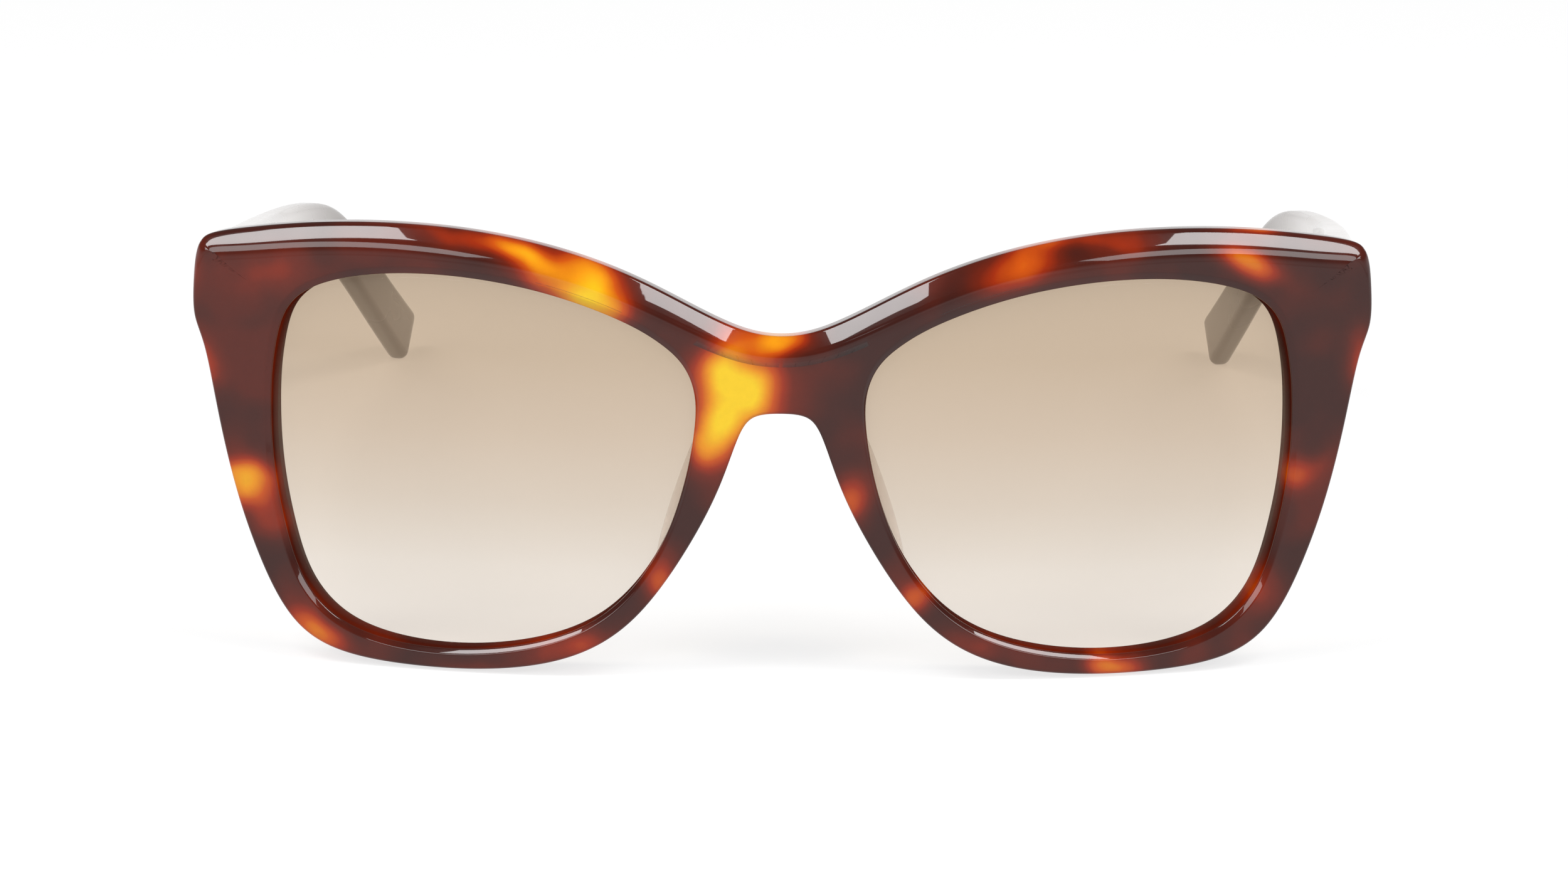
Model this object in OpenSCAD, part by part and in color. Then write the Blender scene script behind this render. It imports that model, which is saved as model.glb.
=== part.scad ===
// Cat eye sunglasses: a bent acetate front with two lenses, and two folding temples on five-barrel hinges.
// Every piece is drawn in the front's own frame, where the front stands upright and faces -Y,
// and stand() then leans the glasses back until the rims and the temple tips rest on Z = 0.
// Left and right are the wearer's: left is +X.

/* [Front] */
// Radius that the flat front is bent to, seen from above
bend_r = 240; // [200:5:300]
// Thickness of the front
front_t = 4.4; // [4.2:0.1:5]
// Greatest depth at which the sloping facet along the brow meets the top edge
facet_depth = 2.0; // [1.6:0.1:2.6]
// Rounding of the front's back edges
back_round = 0.5; // [0.3:0.1:0.6]

/* [Lenses] */
// Radius of the lens's front surface
lens_r = 150; // [140:5:180]
// Thickness of a lens
lens_t = 1.8; // [1.6:0.1:1.9]
// How far a lens reaches into the rim
lens_bite = 0.5; // [0.4:0.05:0.6]
// Depth of the groove in the rim
groove = 0.7; // [0.7:0.05:0.9]

/* [Temples] */
// Gap between a temple's end and the end piece when open
butt_gap = 0.25; // [0.2:0.01:0.3]
// Diameter of the wire in each temple
core_d = 1.2; // [1:0.1:1.4]

/* [Hinges] */
// Outside diameter of a knuckle
knuckle_d = 3.5; // [3.2:0.1:3.6]
// Height of one of the five knuckles
knuckle_h = 1.2; // [1:0.05:1.3]
// Thickness of a hinge leaf
leaf_t = 1.0; // [0.8:0.1:1.2]
// Diameter of the hinge screw's shaft
screw_d = 1.4; // [1.2:0.1:1.6]
// Radial clearance round the screw, and end clearance between knuckles
running_gap = 0.03; // [0.02:0.01:0.05]

/* [Hidden] */

// ---- How the glasses stand -------------------------------------------------------------
// Lean of the front when the rims and the temple tips rest on a table
lean = 6.09;
// How far both temples stand turned towards the wearer's left at rest
rest_turn = 1.2;
// Shift that centres the standing glasses over the origin and puts their lowest point at Z = 0
stand_shift = [-0.86, -69.83, 28.04];

// ---- Shape of the front, laid flat -----------------------------------------------------
// One row for each rib round the right-hand lens opening, starting at the top of the bridge:
// [opening across, opening up, outline across, outline up, width of the front edge's bevel,
//  width of the opening's chamfer]. The rows are control points of smooth closed curves.
// The last two rows lie on the centre line, inside the bridge.
ribs = [
  [14.6,  13.1,  0.0,  13.6, 2.0, 0.8], [17.2,  14.7,  4.5,  14.2, 2.1, 0.9],
  [20.8,  16.3, 10.4,  17.0, 2.3, 0.9], [25.3,  17.9, 17.9,  20.9, 2.6, 0.9],
  [31.0,  19.4, 27.0,  24.0, 2.6, 0.9], [38.5,  20.5, 37.3,  25.9, 2.5, 0.9],
  [46.3,  20.7, 47.8,  26.5, 2.4, 0.9], [52.8,  19.9, 57.8,  26.1, 2.4, 0.9],
  [57.2,  18.5, 65.5,  25.1, 2.4, 0.8], [59.5,  16.8, 70.6,  24.3, 2.0, 0.8],
  [60.7,  15.0, 72.0,  23.3, 1.3, 0.8], [61.4,  12.8, 72.2,  18.6, 1.0, 0.8],
  [61.9,  10.2, 72.3,  14.0, 0.9, 0.8], [62.3,   7.0, 70.7,  11.3, 0.9, 0.8],
  [62.4,   1.3, 69.2,   2.8, 0.9, 0.7], [61.9,  -5.0, 67.1,  -6.3, 0.9, 0.7],
  [60.5, -11.6, 64.1, -14.8, 0.9, 0.7], [58.5, -18.0, 60.2, -22.6, 0.9, 0.6],
  [53.5, -23.0, 54.6, -26.2, 0.9, 0.6], [44.8, -25.1, 45.3, -27.4, 0.8, 0.6],
  [35.5, -25.2, 34.3, -27.6, 0.8, 0.6], [26.4, -23.4, 24.5, -25.9, 0.8, 0.6],
  [19.7, -19.7, 16.8, -21.0, 0.8, 0.5], [14.5, -12.9, 10.0, -10.4, 0.8, 0.5],
  [12.0,  -6.2,  6.7,  -3.4, 0.8, 0.5], [10.7,  -0.6,  4.7,   3.3, 0.8, 0.4],
  [10.2,   3.2,  2.8,   4.6, 0.8, 0.4], [10.1,   6.0,  0.0,   4.7, 0.8, 0.5],
  [10.7,   8.8,  0.0,   7.6, 0.8, 0.6], [12.2,  11.2,  0.0,  10.6, 0.8, 0.7]];
// Steps drawn between two ribs
rib_steps = 3;
// Ribs that end on the outline, and not inside the bridge
outline_ribs = len(ribs) - 2;
// Room left between a lens and each side of its groove
groove_gap = 0.05;
// Greatest depth of the opening's chamfer, and bevel of the opening's back edge
chamfer_depth = 0.5;
wall_back_bevel = 0.2;
// Centre of the lens opening on the flat front, where the lens's axis passes
lens_centre = [36.5, -2];
// Depth of the lens's highest point behind the front face
lens_sink = 0.3;
// Depth of the brow facet for each millimetre of its width
facet_slope = 0.8;
// How far the facet's upper edge is rounded off
facet_lip = 0.3;
// Bevel width of the plain edge, and how much wider it is where the facet is complete
plain_bevel = 0.9;
facet_fade = 0.6;
// How much of a plain edge's bevel its middle is pushed out
plain_bulge = 0.3;

// ---- Shape of a temple -----------------------------------------------------------------
// Control points of its centre line, from the hinge to the tip: [x, y, z, height, thickness]
temple_path = [
  [67.7, 14.4,  17.8, 11.0, 4.0], [68.2, 34.0, 16.0, 10.2, 3.9], [68.9,  56.0, 14.0, 9.2, 3.8],
  [69.8, 78.0,  11.9,  8.2, 3.6], [68.3, 96.0, 11.0,  7.4, 3.5], [64.9, 111.0,  9.9, 6.8, 3.3],
  [62.2, 121.0,  3.2,  6.3, 3.2], [59.6, 131.0, -4.0, 6.8, 3.1], [57.3, 140.0, -10.0, 7.4, 3.0]];
// Steps drawn between two control points
temple_steps = 5;
// Rounding of a temple's long edges
temple_round = 1.1;
// Length over which the tip is rounded off
tip_round = 1.6;
// First and last step of the core wire along the temple
core_span = [1, 37];

// ---- Nose pads -------------------------------------------------------------------------
// Control points of a pad's middle: [x, y, z, depth, thickness]
pad_path = [[8.2, 6.2, 3.4, 3.4, 1.4], [9.2, 7.0, -0.5, 6.0, 2.2], [10.5, 7.6, -5.0, 7.4, 2.6],
            [12.2, 7.8, -10.0, 7.0, 2.6], [13.7, 7.2, -14.0, 5.0, 2.0], [14.3, 6.6, -16.2, 2.8, 1.2]];
// Turn of a pad's long side away from straight back
pad_lie = 24;
// How far a pad stands off the back of the front, for the glue
pad_glue = 0.03;
pad_steps = 3;
pad_sides = 16;

// ---- Hinge layout ----------------------------------------------------------------------
// Hinge axis, and the middle of the leaf on the back of the end piece
hinge_at = [63.8, 15.1, 17.8];
leaf_x = 65.5;
// Half the length of the front leaf, length of the temple leaf, and height of both
front_leaf_half = 3.6;
temple_leaf_len = 9;
leaf_h = 6.4;
// Room left round a leaf in its pocket, and round the core wire in its channel
leaf_gap = 0.02;
core_gap = 0.02;
knuckles = 5;
web_w = 2.0;
screw_head_d = 2.6;
screw_head_h = 0.8;
slot_w = 0.35;
slot_depth = 0.4;
// How far a leaf stands proud of its pocket
leaf_proud = 0.05;
// Distance of the temple leaf's front end ahead of the hinge axis
temple_leaf_lead = 0.5;
// Sides drawn on round hinge parts
fine = 48;

// ---- Curves ----------------------------------------------------------------------------
function blend4(a, b, c, d, t) =
  ((1 - t)^3 * a + (3*t^3 - 6*t^2 + 4) * b + (-3*t^3 + 3*t^2 + 3*t + 1) * c + t^3 * d) / 6;

// Smooth closed curve drawn by the control points p, with n steps for each
function closed_curve(p, n) = let (m = len(p))
  [for (i = [0:m-1], j = [0:n-1])
    blend4(p[(i + m - 1) % m], p[i], p[(i + 1) % m], p[(i + 2) % m], j / n)];

// Smooth open curve that starts and ends at the first and last control point
function open_curve(p, n) = let (m = len(p), q = concat([2*p[0] - p[1]], p, [2*p[m-1] - p[m-2]]))
  concat([for (i = [1:m-1], j = [0:n-1]) blend4(q[i-1], q[i], q[i+1], q[i+2], j / n)], [p[m-1]]);

// Outward normal at point k of a closed ring that runs clockwise seen from the front
function ring_normal(r, k) = let (m = len(r), t = r[(k + 1) % m] - r[(k + m - 1) % m])
  [-t[1], t[0]] / norm([t[0], t[1]]);

// A point of the flat front, [across, up] at a depth behind its face, after bending
function bent(p, d) = let (a = p[0] / bend_r * 180 / PI, r = bend_r - d)
  [r * sin(a), bend_r - r * cos(a), p[1]];

// Depth behind the face of a sphere of radius r about the lens's centre of curvature
function lens_depth(p, r) = let (
    a = (p[0] - lens_centre[0]) / bend_r * 180 / PI,
    rho = bend_r - lens_sink - lens_r,
    up = p[1] - lens_centre[1])
  bend_r - rho * cos(a) - sqrt(r^2 - up^2 - (rho * sin(a))^2);

function triangles(a, b, c, d, flip) = flip ? [[a, c, b], [a, d, c]] : [[a, b, c], [a, c, d]];

// ---- Front -----------------------------------------------------------------------------
// The opening's points and, for the whole front, the outline's points
opening = closed_curve([for (r = ribs) [r[0], r[1], r[5]]], rib_steps);
outline = let (half = [for (i = [0:outline_ribs-1]) [ribs[i][2], ribs[i][3], ribs[i][4]]])
  closed_curve(concat(half, [for (i = [outline_ribs-2:-1:1]) [-half[i][0], half[i][1], half[i][2]]]),
               rib_steps);
n_open = len(opening);
n_out = len(outline);
n_half = n_out / 2;

// Outline moved inwards by e, and opening moved outwards by e, at depth d
function edge_point(k, e, d) = let (p = outline[k], n = ring_normal(outline, k))
  bent([p[0], p[1]] - e * n, d);
function wall_point(k, e) = let (p = opening[k]) [p[0], p[1]] + e * ring_normal(opening, k);

// How much of the brow facet an outline point has: 0 on a plain rounded edge, 1 on the brow
function facet_share(k) = max(0, min(1, (outline[k][2] - plain_bevel) / facet_fade));

// The outer wall's cross-section at point k: [inset, depth], from the front face to the back face
function edge_profile(k) = let (
    w = outline[k][2],
    s = facet_share(k),
    d = min(facet_depth, facet_slope * w)) [
  [w, 0],
  [plain_bulge * w * (1 - s) + facet_lip * s, plain_bulge * w * (1 - s) + (d - facet_lip) * s],
  [0, w * (1 - s) + d * s],
  [0, front_t - back_round],
  [back_round * 0.3, front_t - back_round * 0.3],
  [back_round, front_t]];

// The opening's cross-section at point k: [outset, depth]: chamfer, lens groove, back edge
function wall_profile(k) = let (
    c = opening[k][2],
    front_r = lens_r + groove_gap,
    back_r = lens_r - lens_t - groove_gap,
    lip = wall_point(k, 0),
    floor = wall_point(k, groove)) [
  [c, 0],
  [0, min(c, chamfer_depth)],
  [0, lens_depth(lip, front_r)], [groove, lens_depth(floor, front_r)],
  [groove, lens_depth(floor, back_r)], [0, lens_depth(lip, back_r)],
  [0, front_t - wall_back_bevel],
  [wall_back_bevel, front_t]];

edge_rows = 6;
wall_rows = 8;
// Points on the centre line between the two halves, on the front face and on the back face
n_mid = n_open - n_half - 1;
mid_points = [for (face = [0, 1]) let (
    top = edge_point(0, face ? back_round : outline[0][2], face * front_t),
    bottom = edge_point(n_half, face ? back_round : outline[n_half][2], face * front_t))
  for (i = [1:n_mid]) bottom + (top - bottom) * i / (n_mid + 1)];

function edge_index(r, k) = r * n_out + k % n_out;
function wall_index(side, r, k) = edge_rows * n_out + (side * wall_rows + r) * n_open + k % n_open;
function mid_index(face, i) = edge_rows * n_out + 2 * wall_rows * n_open + face * n_mid + i;
// The point of the outer ring that faces point k of a lens opening
function outer_index(side, face, k) = let (j = k % n_open)
  j <= n_half ? edge_index(face ? edge_rows - 1 : 0, side ? n_out - j : j)
              : mid_index(face, j - n_half - 1);

front_points = concat(
  [for (r = [0:edge_rows-1], k = [0:n_out-1]) let (e = edge_profile(k)[r]) edge_point(k, e[0], e[1])],
  [for (side = [0, 1], r = [0:wall_rows-1], k = [0:n_open-1]) let (
      w = wall_profile(k)[r],
      p = bent(wall_point(k, w[0]), w[1]))
    side ? [-p[0], p[1], p[2]] : p],
  mid_points);

front_faces = concat(
  [for (r = [0:edge_rows-2], k = [0:n_out-1])
    each triangles(edge_index(r, k), edge_index(r + 1, k),
                   edge_index(r + 1, k + 1), edge_index(r, k + 1), false)],
  [for (side = [0, 1], r = [0:wall_rows-2], k = [0:n_open-1])
    each triangles(wall_index(side, r, k), wall_index(side, r, k + 1),
                   wall_index(side, r + 1, k + 1), wall_index(side, r + 1, k), side == 1)],
  [for (side = [0, 1], face = [0, 1], k = [0:n_open-1]) let (r = face ? wall_rows - 1 : 0)
    each triangles(outer_index(side, face, k), outer_index(side, face, k + 1),
                   wall_index(side, r, k + 1), wall_index(side, r, k), side != face)]);

// ---- Sweeps ----------------------------------------------------------------------------
function unit(v) = v / norm(v);
function path_point(c, i) = [c[i][0], c[i][1], c[i][2]];
function path_dir(c, i) = let (m = len(c) - 1)
  unit(path_point(c, min(i + 1, m)) - path_point(c, max(i - 1, 0)));

// Rounded rectangle w wide and h high, as 12 points
function rounded_box(w, h, r) = [for (q = [[1, 1, 0], [-1, 1, 90], [-1, -1, 180], [1, -1, 270]], k = [0:2])
  [q[0] * (w/2 - r) + r * cos(q[2] + 45 * k), q[1] * (h/2 - r) + r * sin(q[2] + 45 * k)]];

// Closed skin over rings of equal length
module skin(rings) {
  m = len(rings[0]);
  last = len(rings) - 1;
  polyhedron(
    points = [for (r = rings) each r],
    faces = concat(
      [for (i = [0:last-1], k = [0:m-1]) let (n = (k + 1) % m)
        each triangles(i*m + k, i*m + n, (i + 1)*m + n, (i + 1)*m + k, false)],
      [[for (k = [m-1:-1:0]) k], [for (k = [0:m-1]) last*m + k]]));
}

temple_curve = open_curve(temple_path, temple_steps);
n_temple = len(temple_curve);

// One ring of the temple; the first is mitred to lie along the back of the end piece
function temple_ring(i, scale_w, scale_h, along) = let (
    c = temple_curve[i],
    dir = i == 0 ? [0, 1, 0] : path_dir(temple_curve, i),
    side = unit(cross(dir, [0, 0, 1])),
    up = cross(side, dir),
    w = c[4] * scale_w,
    h = c[3] * scale_h)
  [for (q = rounded_box(w, h, min(temple_round, w * 0.45)))
    path_point(temple_curve, i) + side * q[0] + up * q[1] + dir * along
      + (i == 0 ? [0, butt_gap + q[0] * tan(leaf_angle), 0] : [0, 0, 0])];

module temple_body() {
  end = n_temple - 1;
  skin(concat(
    [for (i = [0:end]) temple_ring(i, 1, 1, 0)],
    [for (a = [30, 60, 82]) temple_ring(end, 0.35 + 0.65 * cos(a), 0.6 + 0.4 * cos(a), tip_round * sin(a))]));
}

// Ring of radius r round the temple's centre line
function wire_ring(i, r) = let (
    dir = path_dir(temple_curve, i),
    side = unit(cross(dir, [0, 0, 1])),
    up = cross(side, dir))
  [for (a = [0:45:315]) path_point(temple_curve, i) + r * (side * cos(a) + up * sin(a))];

pad_curve = open_curve(pad_path, pad_steps);
// One level ring of a pad: a flattened oval whose long side follows the side of the nose
function pad_ring(i) = let (c = pad_curve[i])
  [for (k = [0:pad_sides-1]) let (a = 360 * k / pad_sides)
    path_point(pad_curve, i) + [
      c[4]/2 * cos(a) * cos(pad_lie) + c[3]/2 * sin(a) * sin(pad_lie),
      c[3]/2 * sin(a) * cos(pad_lie) - c[4]/2 * cos(a) * sin(pad_lie), 0]];

// ---- Placing ---------------------------------------------------------------------------
module stand() translate(stand_shift) rotate([-lean, 0, 0]) children();
module both(side) stand() mirror([side == "right" ? 1 : 0, 0, 0]) children();
// What turns with a temple, as it stands at rest
module arm(side) {
  x = side == "right" ? -hinge_at[0] : hinge_at[0];
  stand() translate([x, hinge_at[1], 0]) rotate([0, 0, -rest_turn]) translate([-x, -hinge_at[1], 0])
    mirror([side == "right" ? 1 : 0, 0, 0]) children();
}

// Slope of the end piece's back face where the front leaf lies, and the middle of that leaf
back_r = bend_r - front_t;
leaf_angle = asin(leaf_x / back_r);
leaf_y = bend_r - back_r * cos(leaf_angle);
module on_end_piece() translate([leaf_x, leaf_y, hinge_at[2]]) rotate([0, 0, leaf_angle]) children();
// The hinge axis in the end piece's own frame
axis_local = let (v = [hinge_at[0] - leaf_x, hinge_at[1] - leaf_y])
  [v[0] * cos(leaf_angle) + v[1] * sin(leaf_angle), v[1] * cos(leaf_angle) - v[0] * sin(leaf_angle)];
temple_inner_x = temple_path[0][0] - temple_path[0][4] / 2;
temple_leaf_y = hinge_at[1] - temple_leaf_lead;

module front_leaf_plate(grow) on_end_piece()
  translate([-front_leaf_half - grow, -leaf_t - grow, -leaf_h/2 - grow])
    cube([2 * front_leaf_half + 2 * grow, leaf_t + leaf_proud + 2 * grow, leaf_h + 2 * grow]);

module temple_leaf_plate(grow)
  translate([temple_inner_x - leaf_proud - grow, temple_leaf_y - grow, hinge_at[2] - leaf_h/2 - grow])
    cube([leaf_t + 2 * grow, temple_leaf_len + 2 * grow, leaf_h + 2 * grow]);

// Knuckle number i, counted from the bottom, with its bore left out
module knuckle(i) translate([hinge_at[0], hinge_at[1], hinge_at[2] + (i - knuckles/2) * knuckle_h + running_gap/2])
  cylinder(d = knuckle_d, h = knuckle_h - running_gap, $fn = fine);

module hinge_bore() translate(hinge_at)
  cylinder(r = screw_d/2 + running_gap, h = 2 * knuckles * knuckle_h, center = true, $fn = fine);

// ---- Pieces ----------------------------------------------------------------------------
module front_frame() color([0.36, 0.14, 0.06]) stand() difference() {
  polyhedron(points = front_points, faces = front_faces);
  front_leaf_plate(leaf_gap);
  mirror([1, 0, 0]) front_leaf_plate(leaf_gap);
}

module lens(side) color([0.78, 0.70, 0.60, 0.6]) both(side) {
  axis_angle = lens_centre[0] / bend_r * 180 / PI;
  edge_r = bend_r - lens_sink - lens_t;
  translate(bent(lens_centre, lens_sink + lens_r)) rotate([0, 0, axis_angle]) intersection() {
    translate([0, -lens_r + 12, 0]) rotate([90, 0, 0]) linear_extrude(height = 16)
      polygon([for (k = [0:n_open-1]) let (p = wall_point(k, lens_bite))
        [edge_r * sin((p[0] - lens_centre[0]) / bend_r * 180 / PI), p[1] - lens_centre[1]]]);
    difference() {
      sphere(r = lens_r, $fn = 240);
      sphere(r = lens_r - lens_t, $fn = 240);
    }
  }
}

module nose_pad(side) color([0.88, 0.86, 0.82, 0.5]) both(side) intersection() {
  skin([for (i = [0:len(pad_curve)-1]) pad_ring(i)]);
  translate([0, bend_r, 0]) cylinder(r = back_r - pad_glue, h = 80, center = true, $fn = 720);
}

module front_hinge(side) color([0.80, 0.78, 0.74]) both(side) difference() {
  union() {
    front_leaf_plate(0);
    for (i = [0, 2, 4]) {
      knuckle(i);
      on_end_piece() translate([axis_local[0] - web_w/2, -leaf_t/2, (i - knuckles/2) * knuckle_h + running_gap/2])
        cube([web_w, axis_local[1] + leaf_t/2, knuckle_h - running_gap]);
    }
  }
  hinge_bore();
}

module temple_hinge(side) color([0.80, 0.78, 0.74]) arm(side) difference() {
  union() {
    temple_leaf_plate(0);
    for (i = [1, 3]) {
      knuckle(i);
      translate([hinge_at[0], temple_leaf_y, hinge_at[2] + (i - knuckles/2) * knuckle_h + running_gap/2])
        cube([temple_inner_x - hinge_at[0] + leaf_t/2, web_w, knuckle_h - running_gap]);
    }
  }
  hinge_bore();
}

module hinge_screw(side) color([0.72, 0.70, 0.66]) both(side) {
  top = knuckles/2 * knuckle_h;
  translate(hinge_at) difference() {
    union() {
      translate([0, 0, -top]) cylinder(d = screw_d, h = 2 * top + screw_head_h/2, $fn = fine);
      translate([0, 0, top]) cylinder(d = screw_head_d, h = screw_head_h, $fn = fine);
    }
    translate([-screw_head_d, -slot_w/2, top + screw_head_h - slot_depth])
      cube([2 * screw_head_d, slot_w, slot_depth + 1]);
  }
}

module temple(side) color([0.86, 0.83, 0.80]) arm(side) difference() {
  temple_body();
  temple_leaf_plate(leaf_gap);
  // The wire's channel, open at the hinge end
  skin([for (i = [0:core_span[1]]) [for (q = wire_ring(i, core_d/2 + core_gap)) q - (i == 0 ? [0, 1, 0] : [0, 0, 0])]]);
}

module core_wire(side) color([0.70, 0.70, 0.72]) arm(side)
  skin([for (i = [core_span[0]:core_span[1]]) wire_ring(i, core_d/2)]);

front_frame();
lens("left");  // left_lens
lens("right");  // right_lens
nose_pad("left");  // left_nose_pad
nose_pad("right");  // right_nose_pad
front_hinge("left");  // left_front_hinge
front_hinge("right");  // right_front_hinge
temple_hinge("left");  // left_temple_hinge
temple_hinge("right");  // right_temple_hinge
hinge_screw("left");  // left_hinge_screw
hinge_screw("right");  // right_hinge_screw
temple("left");  // left_temple
temple("right");  // right_temple
core_wire("left");  // left_core_wire
core_wire("right");  // right_core_wire
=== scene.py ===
"""Cat eye sunglasses: smooth visual pieces, materials, soft studio light and camera."""
import math

import bmesh
import bpy
import numpy as np
from mathutils import Matrix, Vector


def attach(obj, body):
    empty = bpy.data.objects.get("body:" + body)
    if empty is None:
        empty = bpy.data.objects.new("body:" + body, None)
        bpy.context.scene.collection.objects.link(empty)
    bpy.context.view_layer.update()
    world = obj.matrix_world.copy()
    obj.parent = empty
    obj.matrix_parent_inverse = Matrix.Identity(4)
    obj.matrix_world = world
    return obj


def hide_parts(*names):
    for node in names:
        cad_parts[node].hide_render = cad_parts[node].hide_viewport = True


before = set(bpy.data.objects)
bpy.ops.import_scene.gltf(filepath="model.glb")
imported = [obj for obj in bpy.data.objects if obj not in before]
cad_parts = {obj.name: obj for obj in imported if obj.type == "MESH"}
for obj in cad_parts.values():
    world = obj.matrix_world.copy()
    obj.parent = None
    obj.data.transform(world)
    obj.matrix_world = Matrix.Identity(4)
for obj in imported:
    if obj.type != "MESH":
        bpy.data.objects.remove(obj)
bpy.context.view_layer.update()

# ---- Shared measures, in millimetres in the front's own frame -------------------------
BEND_R = 240.0
FRONT_T = 4.4
LENS_R = 150.0
LENS_T = 1.8
LENS_BITE = 0.5
LENS_SINK = 0.3
LENS_CENTRE = (36.5, -2.0)
# Rows of points from a lens's rim to its middle, and where the last lies, as a share of the rim
LENS_ROWS = 16
LENS_HOLE = 0.02
FACET_DEPTH = 2.0
FACET_SLOPE = 0.8
PLAIN_BEVEL = 0.9
FACET_FADE = 0.6
CHAMFER_DEPTH = 0.5
# A plain edge is cut at this share of its bevel from the corner
PLAIN_CUT = 0.3
# The brow gets softer from this far across from the middle, over this distance
SOFTER_FROM = 22.0
SOFTER_OVER = 20.0
# How far the outer edge's cross-section reaches in over the back face
BACK_REACH = 0.9
# Rounding of the back edges, of the plain front edge, and of the opening's front and back edges
BACK_EDGE = 0.45
PLAIN_EDGE = 0.5
OPENING_FRONT_EDGE = 0.16
OPENING_BACK_EDGE = 0.3
# Arc steps of a rounded corner on the outside and in an opening
EDGE_ARC = 8
WALL_ARC = 4
# Row of an opening's cross-section where its straight wall starts, behind the chamfer
WALL_ROW = 2 * (WALL_ARC + 1)
HINGE_AT = (63.8, 15.1)
REST_TURN = math.radians(1.2)
LEAN = math.radians(6.09)
STAND_SHIFT = np.array([-0.86, -69.83, 28.04])
MM = 0.001
# Points nearer than this, in metres, become one
MERGE = 1e-7

# One row for each rib round a lens opening, from the top of the bridge: opening across and
# up, outline across and up, bevel width of the front edge, chamfer width of the opening.
RIBS = np.array([
    [14.6, 13.1, 0.0, 13.6, 2.0, 0.8], [17.2, 14.7, 4.5, 14.2, 2.1, 0.9],
    [20.8, 16.3, 10.4, 17.0, 2.3, 0.9], [25.3, 17.9, 17.9, 20.9, 2.6, 0.9],
    [31.0, 19.4, 27.0, 24.0, 2.6, 0.9], [38.5, 20.5, 37.3, 25.9, 2.5, 0.9],
    [46.3, 20.7, 47.8, 26.5, 2.4, 0.9], [52.8, 19.9, 57.8, 26.1, 2.4, 0.9],
    [57.2, 18.5, 65.5, 25.1, 2.4, 0.8], [59.5, 16.8, 70.6, 24.3, 2.0, 0.8],
    [60.7, 15.0, 72.0, 23.3, 1.3, 0.8], [61.4, 12.8, 72.2, 18.6, 1.0, 0.8],
    [61.9, 10.2, 72.3, 14.0, 0.9, 0.8], [62.3, 7.0, 70.7, 11.3, 0.9, 0.8],
    [62.4, 1.3, 69.2, 2.8, 0.9, 0.7], [61.9, -5.0, 67.1, -6.3, 0.9, 0.7],
    [60.5, -11.6, 64.1, -14.8, 0.9, 0.7], [58.5, -18.0, 60.2, -22.6, 0.9, 0.6],
    [53.5, -23.0, 54.6, -26.2, 0.9, 0.6], [44.8, -25.1, 45.3, -27.4, 0.8, 0.6],
    [35.5, -25.2, 34.3, -27.6, 0.8, 0.6], [26.4, -23.4, 24.5, -25.9, 0.8, 0.6],
    [19.7, -19.7, 16.8, -21.0, 0.8, 0.5], [14.5, -12.9, 10.0, -10.4, 0.8, 0.5],
    [12.0, -6.2, 6.7, -3.4, 0.8, 0.5], [10.7, -0.6, 4.7, 3.3, 0.8, 0.4],
    [10.2, 3.2, 2.8, 4.6, 0.8, 0.4], [10.1, 6.0, 0.0, 4.7, 0.8, 0.5],
    [10.7, 8.8, 0.0, 7.6, 0.8, 0.6], [12.2, 11.2, 0.0, 10.6, 0.8, 0.7]])
OUTLINE_RIBS = 28

# Centre line of a temple from the hinge to the tip: x, y, z, height, thickness
TEMPLE = np.array([
    [67.7, 14.4, 17.8, 11.0, 4.0], [68.2, 34.0, 16.0, 10.2, 3.9], [68.9, 56.0, 14.0, 9.2, 3.8],
    [69.8, 78.0, 11.9, 8.2, 3.6], [68.3, 96.0, 11.0, 7.4, 3.5], [64.9, 111.0, 9.9, 6.8, 3.3],
    [62.2, 121.0, 3.2, 6.3, 3.2], [59.6, 131.0, -4.0, 6.8, 3.1], [57.3, 140.0, -10.0, 7.4, 3.0]])
TEMPLE_STEPS = 12
TEMPLE_ROUND = 1.1
TEMPLE_CROWN = 0.03
TIP_ROUND = 1.6
BUTT_GAP = 0.25
# Stations over which the slant of a temple's butt end fades out
BUTT_STATIONS = 4
LEAF_X = 65.5

# Middle of a nose pad: x, y, z, depth, thickness
PAD = np.array([
    [8.2, 6.2, 3.4, 3.4, 1.4], [9.2, 7.0, -0.5, 6.0, 2.2], [10.5, 7.6, -5.0, 7.4, 2.6],
    [12.2, 7.8, -10.0, 7.0, 2.6], [13.7, 7.2, -14.0, 5.0, 2.0], [14.3, 6.6, -16.2, 2.8, 1.2]])
PAD_LIE = math.radians(24)
PAD_STEPS = 8
PAD_SIDES = 40
PAD_GLUE = 0.03


# ---- Curves and placing ----------------------------------------------------------------
def spline(points, steps, closed):
    """Uniform cubic B-spline through a run of control points."""
    p = np.asarray(points, float)
    if closed:
        q = np.concatenate([p[-1:], p, p[:2]])
        spans = len(p)
    else:
        q = np.concatenate([2 * p[:1] - p[1:2], p, 2 * p[-1:] - p[-2:-1]])
        spans = len(p) - 1
    t = (np.arange(steps) / steps)[:, None]
    weights = [(1 - t) ** 3, 3 * t ** 3 - 6 * t ** 2 + 4, -3 * t ** 3 + 3 * t ** 2 + 3 * t + 1, t ** 3]
    rows = [sum(weights[j] * q[i + j] for j in range(4)) / 6 for i in range(spans)]
    out = np.concatenate(rows)
    return out if closed else np.concatenate([out, p[-1:]])


def ring_normals(ring):
    """Outward normals of a closed ring that runs clockwise seen from the front."""
    t = np.roll(ring, -1, axis=0) - np.roll(ring, 1, axis=0)
    n = np.stack([-t[:, 1], t[:, 0]], axis=1)
    return n / np.linalg.norm(n, axis=1)[:, None]


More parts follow.
